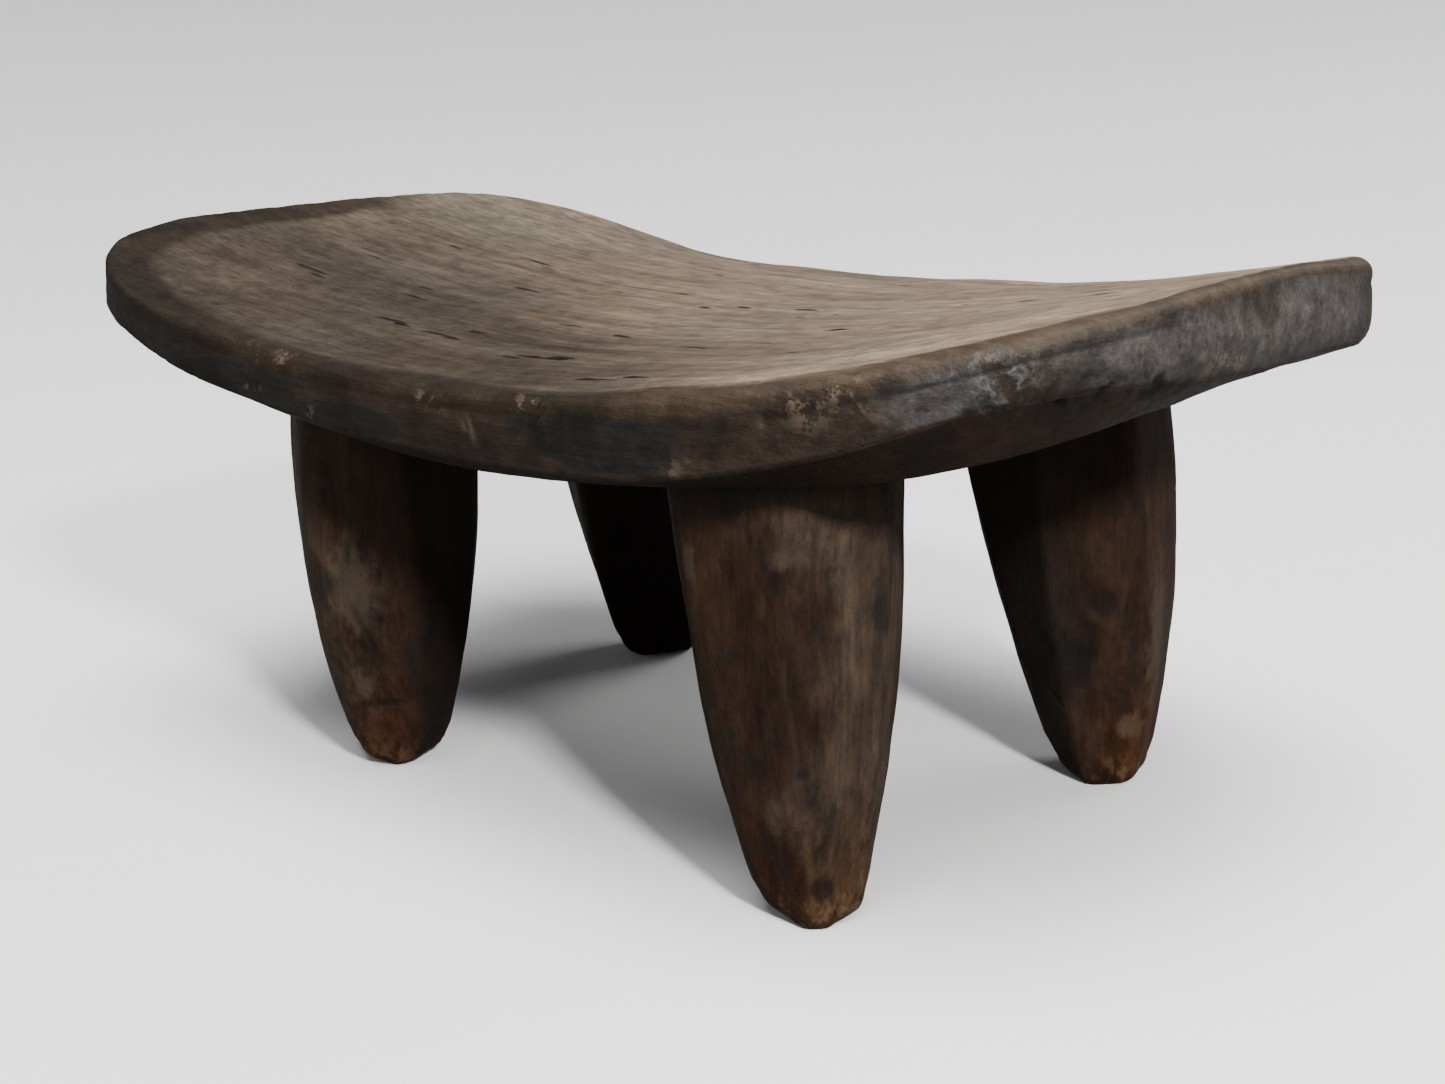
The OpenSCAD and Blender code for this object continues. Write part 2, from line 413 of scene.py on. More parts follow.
def open_cracks(points, grid):
    """Cuts each crack along the line of grid points nearest to it. Returns the points and
    how dark each one is: fully in a crack, and partly on its lips."""
    rows = len(grid)
    top = points[grid]
    depth, lips = np.zeros(grid.shape), np.zeros(grid.shape)
    ragged = noise(points[grid.ravel()], (5, 5, 400), 61).reshape(grid.shape)
    for x, y, length, deep in all_cracks():
        away = (top[:, :, 0] - x) ** 2 + (3 * (top[:, :, 1] - y)) ** 2
        row, _ = np.unravel_index(np.argmin(away), away.shape)
        if not CRACK_MARGIN <= row < rows - CRACK_MARGIN:
            continue
        share = np.sqrt(np.clip(1 - ((top[row, :, 0] - x) / (length / 2)) ** 2, 0, 1))
        share *= 0.75 + 0.25 * ragged[row]
        inside = share > 0
        mouth = (MOUTH + MOUTH_GAIN * deep) * share
        lip = min(LIP_MOST, LIP + LIP_GAIN * deep)
        line = top[row, :, 1].copy()
        for side in (-1, 1):
            gap = np.abs(top[row + side, :, 1] - line)
            pinched = line + side * np.minimum(gap, mouth + (1 - share) * gap * END_GAP)
            top[row + side, inside, 1] = pinched[inside]
        depth[row] = np.maximum(depth[row], deep * share)
        for side in (-1, 1):
            lips[row + side] = np.maximum(lips[row + side], share * lip)
        for step, lift in LIP_LIFTS:
            top[row + step, :, 2] += lift * share * min(1.0, deep / 2)
    top[:, :, 2] -= depth
    points[grid] = top
    whole = np.zeros(len(points))
    whole[grid] = np.maximum(np.clip(depth / CRACK_DARK, 0, 1), lips)
    return points, whole


# ==================== marks on the seat
# Chips that show the pale wood, dark knots and smears, and knife scratches.
SEAT_CHIPS = [
    ((-167, -143, 217), 13), ((-100, -158, 207), 10), ((-84, -159, 205), 12),
    ((5, -163, 197), 10), ((58, -160, 199), 13), ((188, -147, 217), 15), ((174, -153, 209), 11),
    ((250, -103, 211), 7), ((132, -160, 187), 4), ((122, -158, 184), 5), ((75, -154, 176), 4),
    ((-103, -163, 188), 10), ((-65, -163, 183), 4), ((267, -46, 219), 16),
]
SEAT_SCRATCHES = [
    ((198, -146, 211), (203, -144, 201), 1.6), ((26, -164, 193), (28, -164, 182), 1.3),
    ((22, -164, 192), (23, -164, 186), 1.1), ((157, -157, 205), (159, -157, 201), 1.2),
    ((156, -158, 190), (161, -156, 184), 1.5), ((262, -70, 232), (263, -66, 224), 1.2),
]
SEAT_KNOTS = [((200, -145, 217), 6.5), ((143, -160, 199), 10), ((140, -160, 190), 6)]
# Soot-black and greyed stretches of the rim.
CHARCOAL = [
    ((-262, 0, 225), (60, 220, 60)), ((-250, -135, 218), (70, 60, 60)),
    ((-205, -160, 205), (85, 40, 40)),
    ((-125, -165, 188), (75, 30, 17)), ((88, -165, 190), (58, 30, 17)),
    ((-45, -165, 182), (50, 30, 11)),
]
GREYED = [
    ((265, -70, 222), (60, 110, 30)), ((215, -140, 215), (40, 30, 24)),
    ((272, 20, 226), (40, 90, 40)),
]
# A middle and a reach: where the side is glossier and carries bluish glints that are a painted
# highlight, where its pits are deep, and where the top is greenish.
GLOSS_AND_PAINTED_GLINT = (230, -127, 219), (30, 22, 16)
DEEP_PITS = (243, -105, 211), (62, 70, 60)
GREEN_PATCH = (-205, 70, 225), (70, 60, 60)

# -------------------- layers of tool marks
OUTLINE_WANDER = [((80, 80, 400), 3, 0.8), ((33, 33, 300), 4, 0.4)]
GRAIN_BEND = [((130, 70, 900), 5, 3.0), ((17, 21, 900), 6, 0.8), ((7, 19, 900), 7, 0.3)]
# Adze strokes: long shallow scoops on the top, flatter facets on the side.
SCOOPS = [
    ((84, 44, 60), 12, 0.8), ((36, 17, 40), 13, 0.50), ((22, 6.0, 30), 14, 0.24),
    ((12, 2.8, 30), 15, 0.10),
]
FACETS = [(26, 16, 0.9), (9, 17, 0.35), ((8, 8, 40), 18, 0.15)]
UNDER_CUTS = [((48, 22, 50), 19, 0.8), (11, 20, 0.25)]
# On a leg: long strokes of the knife, and small dents. Their seeds add to the leg's own.
KNIFE_STROKES = [((13, 13, 55), 0, 0.45), ((5, 5, 24), 1, 0.16), (34, 2, 0.6), (9, 5, 0.16)]
# How deep in millimetres each kind of mark is.
CHIP_DEPTH, PIT_DEPTH, GROOVE_DEPTH, CHEWED_DEPTH = 2.0, 2.2, 0.7, 1.4
SCRATCH_DEPTH, KNOT_DEPTH = 0.7, 0.5
LEG_MARK_DEPTHS = {"line": 0.9, "scratch": 0.5, "dark": 0.5}


# ==================== the carved seat
def carve_seat():
    """The board with its tool marks, wear and cracks, and the masks for its wood."""
    points, faces, rim, grid = seat_shape()
    on_round = ramp(rim, 0, 0.35) * (1 - ramp(rim, 0.75, 1.1))
    on_side = ramp(rim, 0.4, 0.85) * (1 - ramp(rim, 1.97, 2.05))
    on_crease = ramp(rim, 1.5, 1.85) * (1 - ramp(rim, 2.15, 2.4))
    beneath = ramp(rim, 1.92, 2.04)
    on_top = 1 - ramp(rim, 0, 0.8)

    # The outline of a hand-cut board wanders a little, and the lines of its top bend with the
    # grain, so that the cracks run along it.
    x, y, _ = points.T
    outward = np.column_stack([x / (SEAT_L / 2), y / (SEAT_W / 2), np.zeros_like(x)])
    outward /= np.maximum(np.linalg.norm(outward, axis=1, keepdims=True), 1e-6)
    to_rim = ramp(np.maximum(np.abs(2 * x / SEAT_L), np.abs(2 * y / SEAT_W)), 0.6, 1.0)
    wander = layered(points, OUTLINE_WANDER) + departure(x, y, BULGES)
    points = points + outward * (wander * to_rim)[:, None]
    bend = layered(points, GRAIN_BEND)
    points[:, 1] += bend * (1 - ramp(to_rim, 0.2, 0.9)) * (rim == 0)

    piece = make_piece("carved_seat", points, faces)
    normals = normals_of(piece)
    move = layered(points, SCOOPS) * on_top
    move += layered(points, FACETS) * np.maximum(on_side, on_round * 0.6)
    move += layered(points, UNDER_CUTS) * beneath
    # Chips along the worn top edge, and pits along the lower edge of the side.
    chips = marks_on(points, SEAT_CHIPS)
    flaked = np.clip(lumps(points, 4.5, 21) - 0.02, 0, 1) * chips
    flaked += np.clip(lumps(points, 6, 22) - 0.45, 0, 1) * on_round
    pits = np.clip(lumps(points, 4.4, 23) - 0.05, 0, 1) * on_crease
    pits *= 0.22 + 1.6 * bump_at(points, *DEEP_PITS)
    scratches = marks_on(points, SEAT_SCRATCHES)
    knots = marks_on(points, SEAT_KNOTS)
    # A thin groove under the top edge of the right end.
    groove = np.clip(1 - np.abs(rim - 1.1) / 0.1, 0, 1) * ramp(x, 130, 200) * (1 - ramp(x, 262, 268))
    groove *= 0.6 + 0.4 * lumps(points, 20, 24)
    move -= CHIP_DEPTH * flaked + PIT_DEPTH * pits + GROOVE_DEPTH * groove
    move -= SCRATCH_DEPTH * scratches + KNOT_DEPTH * knots
    points = points + normals * move[:, None]
    points, crack = open_cracks(points, grid)
    set_points(piece, points)

    x, y, _ = points.T
    black_from = 0.45 - 0.4 * ramp(-x, 120, 200)
    blackened = ramp(rim, black_from, black_from + 0.2) * (1 - beneath)
    charcoal = marks_on(points, CHARCOAL) * np.maximum(blackened, on_crease)
    # The brown of the worn edge runs in over the top at the front left and along the front.
    share = outline_share(x, y)
    front_left = ramp(-x, 40, 190) * ramp(-y - x / 3, -20, 100)
    browned = ramp(share, 0.86, 0.96) * on_top * front_left
    browned = np.maximum(browned, 0.8 * ramp(share, 0.90, 0.98) * on_top * ramp(-y, 50, 120))
    add_mask(piece, "side", on_side)
    add_mask(piece, "edge", np.maximum(on_round, browned))
    add_mask(piece, "under", beneath)
    add_mask(piece, "crack", crack)
    add_mask(piece, "chip", np.clip(chips * (on_round + on_side + on_crease), 0, 1))
    add_mask(piece, "pit", np.clip(pits * 2.5, 0, 1))
    add_mask(piece, "scratch", np.clip(scratches * 1.5, 0, 1))
    add_mask(piece, "knot", np.maximum(knots, groove))
    add_mask(piece, "charcoal", np.clip(charcoal * 1.3, 0, 1))
    add_mask(piece, "greyed", marks_on(points, GREYED) * np.maximum(on_side, on_round * 0.4))
    add_mask(piece, "relief", np.clip(move / 1.4, -1, 1))
    # The glossy place is made smoother, and its colour carries a painted highlight of bluish glints.
    add_mask(piece, "gloss_and_painted_glint", bump_at(points, *GLOSS_AND_PAINTED_GLINT))
    # The top is dullest at its left end and along its front, and has one greenish patch.
    dull = 0.60 * ramp(-x, -170, 150) * (1 - 0.45 * ramp(y, -20, 120))
    dull += 0.50 * ramp(-y, 0, 130) * (1 - ramp(x, 60, 200))
    add_mask(piece, "dull", np.clip(dull, 0, 0.78))
    add_mask(piece, "green", bump_at(points, *GREEN_PATCH) * on_top)
    return piece


# ==================== marks on the legs
# Pale worn places, dark spots, pale scratches and dark lines of each leg. The large pale place on
# the front left leg is also a painted pool of light.
LEG_MARKS = {
    "leg_front_left": {
        # The first pale place is worn wood, and it is also a painted pool of light where light falls
        # on the front of this leg.
        "pale_wear_and_light": [((-106, -118, 90), (22, 22, 46)), ((-112, -112, 45), (12, 14, 18))],
        "dark": [((-97, -113, 77), 7), ((-100, -80, 17), 6), ((-106, -108, 22), (12, 10, 8))],
        "scratch": [],
        "line": [
            ((-108, -119, 84), (-101, -108, 54), 1.6), ((-116, -110, 33), (-97, -97, 36), 2.0),
        ],
    },
    "leg_front_right": {
        "pale_wear_and_light": [
            ((135, -124, 47), (7, 8, 16)), ((142, -127, 147), 9), ((106, -134, 143), (6, 6, 16)),
        ],
        "dark": [((146, -121, 67), (5, 5, 6)), ((147, -112, 18), (10, 9, 9))],
        "scratch": [
            ((142, -127, 110), (145, -121, 62), 1.5), ((145, -120, 62), (144, -113, 8), 1.5),
            ((140, -128, 150), (146, -124, 140), 1.3),
        ],
        "line": [((160, -93, 139), (158, -97, 72), 2.2)],
    },
    "leg_rear_right": {
        "pale_wear_and_light": [((168, 82, 29), (12, 12, 13)), ((172, 92, 70), (8, 16, 60))],
        "dark": [((160, 66, 88), (12, 10, 12)), ((150, 62, 60), (14, 10, 20))],
        "scratch": [
            ((157, 62, 86), (161, 64, 79), 1.8), ((160, 64, 85), (158, 63, 81), 1.6),
            ((166, 78, 34), (171, 91, 40), 1.4), ((171, 86, 58), (171, 85, 48), 1.2),
            ((136, 64, 46), (143, 62, 38), 1.5), ((140, 63, 41), (146, 63, 36), 1.3),
        ],
        "line": [((172, 80, 135), (168, 78, 50), 1.8)],
    },
    "leg_rear_left": {
        "pale_wear_and_light": [((-145, 85, 60), (14, 14, 40))],
        "dark": [],
        "scratch": [((-150, 100, 90), (-146, 108, 60), 1.5)],
        "line": [((-118, 125, 120), (-122, 128, 60), 1.8)],
    },
}


# ==================== the carved legs
def facing(degrees):
    """The plan direction that lies some degrees round from the front towards the right."""
    return math.radians(degrees - 90)


CUT_DEPTHS = 0.035, 0.055  # least and greatest depth of a flat, as a share of the radius
ROUND_LIMIT = 1.045       # how far the ridges between flats stand out, in the same way
CRISPNESS = 70            # higher for sharper ridges


def faceted(angle, share, seed, flats):
    """How far a leg cut with long flats lies outside or inside a round one, as a share of
    its radius. The flats' directions wander as they go up."""
    chance = np.random.default_rng(seed)
    total = np.zeros(angle.shape)
    for degrees in flats:
        wave = 0.10 * np.sin(share * chance.uniform(3, 6) + chance.uniform(0, 6))
        away = np.angle(np.exp(1j * (angle - facing(degrees) - wave)))
        reach = (1 - chance.uniform(*CUT_DEPTHS)) / np.cos(np.clip(away, -1.2, 1.2))
        # A soft minimum, so that the ridges between the cuts are worn, not sharp.
        total = total + np.exp(-CRISPNESS * reach)
    total = total + np.exp(-CRISPNESS * ROUND_LIMIT)
    return -np.log(total) / CRISPNESS - 1.0


def leg_wall(share, angle, plan, r_top, bulge, top, foot):
    """For each point of a leg's wall: its way out, its height, its ring's middle in plan and
    its distance from there."""
    way = np.column_stack([np.cos(angle), np.sin(angle)])
    meets = top + r_top * way
    z = (under_z(*meets.T) + RUNS_IN) * share
    centre = foot + (top - foot) * share[:, None]
    bow = 4 * share * (1 - share)
    aside = plan["bow"] * bow + plan["lean"] * (1 - share) + plan["slide"] * share
    centre = centre + ASIDE * aside[:, None]
    radius = FOOT_R + (r_top - FOOT_R) * share + (bulge + plan["thick"]) * bow
    radius = radius * (1 + faceted(angle, share, plan["seed"], plan["flats"]))
    worn = np.clip(1 - z / FOOT_WEAR, 0, 1)
    radius -= FOOT_WEAR * (1 - np.sqrt(1 - worn**2 * 0.999)) * FOOT_ROUND
    return way, z, centre, radius


def carve_leg(name, plan):
    """A leg with its cuts, marks and worn sole, closed at both ends, and its wood's masks."""
    side = np.array(plan["side"])
    own = plan["own"]
    seed = plan["seed"]
    top = side * (TOP_X + own[0], TOP_Y + own[1])
    foot = side * (FOOT_X + own[2], FOOT_Y + own[3])
    r_top, bulge = LEG_R + own[4] + plan["wider"], SWELL + own[5]
    share = np.linspace(0, 1, LEG_UP) ** FOOT_CROWDING
    angle = np.linspace(0, 2 * math.pi, LEG_AROUND, endpoint=False)
    share, angle = [g.ravel() for g in np.meshgrid(share, angle, indexing="ij")]
    way, z, centre, radius = leg_wall(share, angle, plan, r_top, bulge, top, foot)
    points = np.column_stack([centre + radius[:, None] * way, z])

    # Knife strokes, dents, marks, and a chewed edge round the foot.
    strokes = layered(points, KNIFE_STROKES, seed)
    dents = np.clip(lumps(points, 8, seed + 3) - 0.5, 0, 1)
    chewed = np.clip(lumps(points, 6, seed + 4) - 0.1, 0, 1) * (1 - ramp(z, 4, 16))
    marks = {kind: marks_on(points, places) for kind, places in LEG_MARKS[name].items()}
    move = strokes - dents - CHEWED_DEPTH * chewed
    for kind, depth in LEG_MARK_DEPTHS.items():
        move -= depth * marks[kind]
    out = np.column_stack([way, np.zeros(len(way))])
    points = points + out * (move * ramp(z, -1, 3))[:, None]
    # The sole is worn up on two sides.
    for degrees, worn_from in plan["worn"]:
        worn_way = np.array([math.cos(facing(degrees)), math.sin(facing(degrees))])
        beyond = np.maximum((points[:, :2] - foot) @ worn_way - worn_from, 0)
        fade = np.clip(1 - points[:, 2] / SOLE_FADE, 0, 1)
        points[:, 2] += np.minimum(SOLE_SLOPE * beyond, SOLE_LIFT) * fade

    grid = np.arange(len(points)).reshape(LEG_UP, LEG_AROUND)
    beside = np.roll(grid, -1, axis=1)
    quads = [grid[:-1], beside[:-1], beside[1:], grid[1:]]
    faces = np.stack(quads, axis=-1).reshape(-1, 4).tolist()
    wall = len(points)
    # Each end is closed by rings that shrink to its middle.
    sole = np.array([*points[grid[0], :2].mean(axis=0), 0.0])
    crown = np.array([*top, float(under_z(*top)) + RUNS_IN])
    caps = []
    at = wall
    for middle, loop, order in ((sole, grid[0], 1), (crown, grid[-1], -1)):
        edge = points[loop]
        for shrink in CAP_RINGS:
            inner = at + np.arange(LEG_AROUND)
            caps.append(middle + (edge - middle) * [shrink, shrink, shrink**2])
            quad = [loop, inner, np.roll(inner, -1), np.roll(loop, -1)]
            faces += np.stack(quad, axis=-1)[:, ::order].tolist()
            loop = inner
            at += LEG_AROUND
        caps.append(middle[None])
        fan = [loop, np.full(LEG_AROUND, at), np.roll(loop, -1)]
        faces += np.stack(fan, axis=-1)[:, ::order].tolist()
        at += 1
    points = np.concatenate([points, *caps])

    piece = make_piece("carved_" + name, points, faces)
    filler = np.zeros(len(points) - wall)
    inward = -(way @ (side / np.linalg.norm(side)))
    add_mask(piece, "relief", np.concatenate([np.clip(move / 1.2, -1, 1), filler]))
    add_mask(piece, "chip", np.concatenate([np.clip(chewed * 2, 0, 1), filler]))
    for kind, strength in marks.items():
        add_mask(piece, kind, np.concatenate([strength, filler]))
    # Painted shade with some dirt: where the leg meets the board, and on its side turned in under
    # the seat.
    add_mask(piece, "shoulder_shade", np.concatenate([ramp(share, 0.92, 0.98), filler + 1]))
    add_mask(piece, "inner", np.concatenate([ramp(inward, -0.1, 0.8), filler + 1]))
    add_mask(piece, "foot", 1 - ramp(points[:, 2], 2, 22))
    red = 0.5 + 0.5 * np.cos(angle - facing(plan["red"]))
    add_mask(piece, "red", np.concatenate([red, filler]))
    return piece


# ==================== materials
# Linear colours. Where there are several, they run with a noise, each from its own place.
TOP_WOOD = [
    (0.30, (0.125, 0.092, 0.064)), (0.50, (0.185, 0.139, 0.100)), (0.72, (0.245, 0.190, 0.140)),
]
TOP_GREYER = (0.172, 0.144, 0.114, 1)
TOP_GREENISH = (0.150, 0.158, 0.114, 1)
SIDE_WOOD = [
    (0.30, (0.013, 0.009, 0.007)), (0.52, (0.025, 0.017, 0.012)), (0.75, (0.042, 0.028, 0.018)),
]
SOOT = [(0.35, (0.006, 0.0055, 0.0055)), (0.70, (0.019, 0.017, 0.016))]
ASH = [(0.30, (0.036, 0.034, 0.034)), (0.70, (0.068, 0.063, 0.062))]
WORN_EDGE = [(0.35, (0.020, 0.013, 0.0075)), (0.70, (0.050, 0.033, 0.019))]
# The underside's reddish wood, made darker as painted shade under the board.
UNDER_WOOD_AND_SHADE = [(0.35, (0.007, 0.0035, 0.0025)), (0.70, (0.023, 0.010, 0.0055))]
FINE_CRACK = (0.012, 0.009, 0.006, 1)
HAIRLINE = (0.014, 0.010, 0.007, 1)
CRACK_FLOOR = (0.006, 0.004, 0.003, 1)
SEAT_BARE = (0.150, 0.108, 0.072, 1)
SEAT_SPOT = (0.008, 0.006, 0.006, 1)
# A painted highlight: the bluish white of glints of reflected light.
PAINTED_GLINT = (0.16, 0.18, 0.19, 1)
LEG_BROWN = [
    (0.30, (0.024, 0.015, 0.010)), (0.50, (0.043, 0.029, 0.020)), (0.74, (0.064, 0.044, 0.030)),
]
LEG_RED = [(0.30, (0.012, 0.006, 0.004)), (0.70, (0.036, 0.018, 0.010))]
LEG_STAIN = (0.012, 0.010, 0.009, 1)
LEG_WEAR_AND_LIGHT = (0.074, 0.055, 0.039, 1)
LEG_BARE = (0.130, 0.090, 0.054, 1)
LEG_SPOT = (0.009, 0.007, 0.006, 1)
# Painted shade with some dirt, laid on each leg's shoulder and inner side.
LEG_SHADE_AND_DIRT = (0.010, 0.008, 0.0075, 1)
MOST_NOISE = 0.30, 0.70   # where most values of a noise lie
MOST_RELIEF = -0.9, 0.9   # and most of the relief mask's
GRAIN_WARP = 0.012        # metres that the grain wanders


def node(tree, kind, inputs=None, **settings):
    """Adds a node. An input may be a number, a colour or another node's output."""
    made = tree.nodes.new(kind)
    for key, value in settings.items():
        setattr(made, key, value)
    for key, value in (inputs or {}).items():
        if isinstance(value, bpy.types.NodeSocket):
            tree.links.new(value, made.inputs[key])
        else:
            made.inputs[key].default_value = value
    return made


def mask(tree, name):
    """A number that add_mask stored for each point."""
    return node(tree, "ShaderNodeAttribute", attribute_name=name).outputs["Fac"]


def math_node(tree, operation, a, b=0.0, clamp=False):
    made = node(tree, "ShaderNodeMath", {0: a, 1: b}, operation=operation)
    made.use_clamp = clamp
    return made.outputs[0]


def blend(tree, factor, a, b, mode="MIX"):
    inputs = {0: factor, 6: a, 7: b}
    made = node(tree, "ShaderNodeMix", inputs, data_type="RGBA", blend_type=mode)
    return made.outputs[2]


def stretched(tree, scale):
    """Object coordinates in metres, scaled so that a texture's marks run along the grain."""
    place = node(tree, "ShaderNodeTexCoord").outputs["Object"]
    warp = node(tree, "ShaderNodeTexNoise", {"Vector": place, "Scale": 9.0, "Detail": 1.0})
    drift = node(
        tree, "ShaderNodeVectorMath", {0: warp.outputs["Color"], 1: (GRAIN_WARP,) * 3},
        operation="MULTIPLY",
    )
    moved = node(
        tree, "ShaderNodeVectorMath", {0: place, 1: drift.outputs[0]}, operation="ADD"
    )
    made = node(tree, "ShaderNodeMapping", {"Vector": moved.outputs[0], "Scale": scale})
    return made.outputs[0]


def speckle(tree, vector, scale=1.0, detail=4.0, rough=0.55):
    inputs = {"Vector": vector, "Scale": scale, "Detail": detail, "Roughness": rough}
    return node(tree, "ShaderNodeTexNoise", inputs).outputs["Fac"]


def steps(tree, factor, stops):
    """A colour or grey ramp through stops of (place, colour)."""
    made = node(tree, "ShaderNodeValToRGB", {"Fac": factor})
    band = made.color_ramp
    while len(band.elements) < len(stops):
        band.elements.new(0.5)
    for element, (place, colour) in zip(band.elements, stops):
        element.position = place
        element.color = (*colour, 1.0) if len(colour) == 3 else colour
    return made.outputs["Color"]


def level(tree, factor, low, high):
    """The factor stretched so that low becomes 0 and high becomes 1."""
    inputs = {"Value": factor, "From Min": low, "From Max": high}
    return node(tree, "ShaderNodeMapRange", inputs, interpolation_type="SMOOTHSTEP").outputs[0]


def scaled(tree, factor, amount):
    return math_node(tree, "MULTIPLY", factor, amount)


def shift(tree, factor):
    """A noise of about 0 to 1 moved to lie about 0."""
    return math_node(tree, "SUBTRACT", factor, 0.5)


def tint(tree, colour, factor, amount, low, high):
    """Multiplies a colour by low where the factor is 0 and by high where it is 1."""
    shade = steps(tree, factor, [(0.0, low), (0.5, (1.0, 1.0, 1.0)), (1.0, high)])
    return blend(tree, amount, colour, shade, "MULTIPLY")


def laid(tree, colour, factor, amount, over):
    """A colour with some of another laid over it."""
    return blend(tree, scaled(tree, factor, amount), colour, over)


def frayed(tree, name, breaks, amount, low, high):
    """A mask whose edge is broken up by a noise, from 0 at low to 1 at high."""
    broken = math_node(tree, "ADD", mask(tree, name), scaled(tree, shift(tree, breaks), amount))
    return level(tree, broken, low, high)


def new_wood(name, specular):
    material = bpy.data.materials.new(name)
    material.use_nodes = True
    tree = material.node_tree
    tree.nodes.clear()
    shader = node(tree, "ShaderNodeBsdfPrincipled", {"Specular IOR Level": specular})
    node(tree, "ShaderNodeOutputMaterial", {"Surface": shader.outputs[0]})
    return material, tree, shader


def fibre_bump(tree, fibres, grit, mottle, strength):
    """Raised fibres, pores and small dents as a normal for the shader."""
    height = math_node(tree, "ADD", fibres, scaled(tree, grit, 0.45))
    height = math_node(tree, "ADD", height, scaled(tree, mottle, 0.9))
    inputs = {"Height": height, "Strength": strength, "Distance": 0.0009}
    return node(tree, "ShaderNodeBump", inputs).outputs[0]


def seat_wood():
    material, tree, shader = new_wood("seat_wood", 0.20)
    place = node(tree, "ShaderNodeTexCoord").outputs["Object"]
    bands = speckle(tree, stretched(tree, (8, 62, 60)), detail=5)
    fibres = speckle(tree, stretched(tree, (42, 560, 420)), detail=6, rough=0.7)
    checks = speckle(tree, stretched(tree, (34, 330, 300)), detail=4, rough=0.65)
    streaks = speckle(tree, stretched(tree, (17, 175, 160)), detail=6, rough=0.7)
    hairs = speckle(tree, stretched(tree, (30, 120, 110)), detail=3, rough=0.6)
    patches = speckle(tree, place, scale=13, detail=3)
    clouds = speckle(tree, place, scale=34, detail=5, rough=0.65)
    mottle = speckle(tree, place, scale=110, detail=5, rough=0.7)
    grit = speckle(tree, place, scale=480, detail=3, rough=0.6)
    mottled = level(tree, mottle, *MOST_NOISE)

    # The greyed, sat-on top.
    top = steps(tree, bands, TOP_WOOD)
    greyer = blend(tree, level(tree, patches, 0.42, 0.66), top, TOP_GREYER)
    top = blend(tree, 0.5, top, greyer)
    top = laid(tree, top, mask(tree, "green"), 0.55, TOP_GREENISH)
    top = tint(tree, top, mottled, 0.7, (0.72, 0.70, 0.68), (1.22, 1.2, 1.16))
    dull = math_node(tree, "SUBTRACT", 1.0, mask(tree, "dull"))
    top = blend(tree, 1.0, top, dull, "MULTIPLY")

    # The dark side, sooty in places and ashen at the right end.
    side = steps(tree, clouds, SIDE_WOOD)
    sooty = frayed(tree, "charcoal", clouds, 1.5, 0.30, 0.50)
    side = blend(tree, sooty, side, steps(tree, clouds, SOOT))
    ashen = frayed(tree, "greyed", clouds, 0.8, 0.25, 0.75)
    side = laid(tree, side, ashen, 0.75, steps(tree, mottle, ASH))
    side = tint(tree, side, mottled, 0.6, (0.70, 0.68, 0.66), (1.3, 1.25, 1.2))
    colour = blend(tree, level(tree, mask(tree, "side"), 0.25, 0.75), top, side)

    # The golden brown of the worn edge, and the reddish underside, made darker as painted shade
    # under the board.
    gold = blend(tree, 0.8, steps(tree, clouds, WORN_EDGE), dull, "MULTIPLY")
    edge = frayed(tree, "edge", clouds, 0.9, 0.2, 0.75)
    colour = laid(tree, colour, edge, 0.92, gold)
    colour = blend(tree, mask(tree, "under"), colour, steps(tree, clouds, UNDER_WOOD_AND_SHADE))

    # Grain, raised places and fine dark cracks over all of it.
    fibrous = level(tree, fibres, *MOST_NOISE)
    colour = tint(tree, colour, fibrous, 0.55, (0.58, 0.55, 0.53), (1.38, 1.36, 1.32))
    raised = level(tree, mask(tree, "relief"), *MOST_RELIEF)
    colour = tint(tree, colour, raised, 0.55, (0.60, 0.58, 0.56), (1.35, 1.3, 1.22))
    streaked = level(tree, streaks, 0.34, 0.66)
    colour = tint(tree, colour, streaked, 0.5, (0.62, 0.59, 0.56), (1.36, 1.34, 1.30))
    colour = laid(tree, colour, level(tree, checks, 0.36, 0.31), 0.55, FINE_CRACK)
    hairline = level(tree, math_node(tree, "ABSOLUTE", shift(tree, hairs)), 0.008, 0.0)
    hairline = math_node(tree, "MULTIPLY", hairline, level(tree, clouds, 0.50, 0.62))
    colour = laid(tree, colour, hairline, 0.5, HAIRLINE)

    # Marks: bare flecks, bluish glints painted in as a painted highlight, dark spots and the cracks'
    # floors.
    flecks = math_node(tree, "MULTIPLY", mask(tree, "chip"), level(tree, mottle, 0.52, 0.60))
    flecks = math_node(tree, "MAXIMUM", flecks, mask(tree, "scratch"))
    colour = laid(tree, colour, flecks, 0.5, SEAT_BARE)
    # The bluish glints are a painted highlight: pale flecks in the colour that stand in for
    # reflected light.
    painted_glints = math_node(tree, "MULTIPLY", mask(tree, "gloss_and_painted_glint"), level(tree, mottle, 0.46, 0.62))
    painted_glints = math_node(tree, "MULTIPLY", painted_glints, level(tree, grit, 0.40, 0.60))
    colour = laid(tree, colour, painted_glints, 0.5, PAINTED_GLINT)
    spots = math_node(tree, "MAXIMUM", mask(tree, "knot"), mask(tree, "pit"))
    colour = laid(tree, colour, spots, 0.7, SEAT_SPOT)
    colour = blend(tree, level(tree, mask(tree, "crack"), 0.30, 0.62), colour, CRACK_FLOOR)

    tree.links.new(colour, shader.inputs["Base Color"])
    rough = math_node(tree, "ADD", 0.40, scaled(tree, level(tree, mottle, 0.25, 0.75), 0.22))
    shine = math_node(tree, "MULTIPLY", mask(tree, "gloss_and_painted_glint"), level(tree, mottle, 0.46, 0.56))
    rough = math_node(tree, "SUBTRACT", rough, scaled(tree, shine, 0.30), clamp=True)
    tree.links.new(rough, shader.inputs["Roughness"])
    tree.links.new(fibre_bump(tree, fibres, grit, mottle, 0.6), shader.inputs["Normal"])
    return material


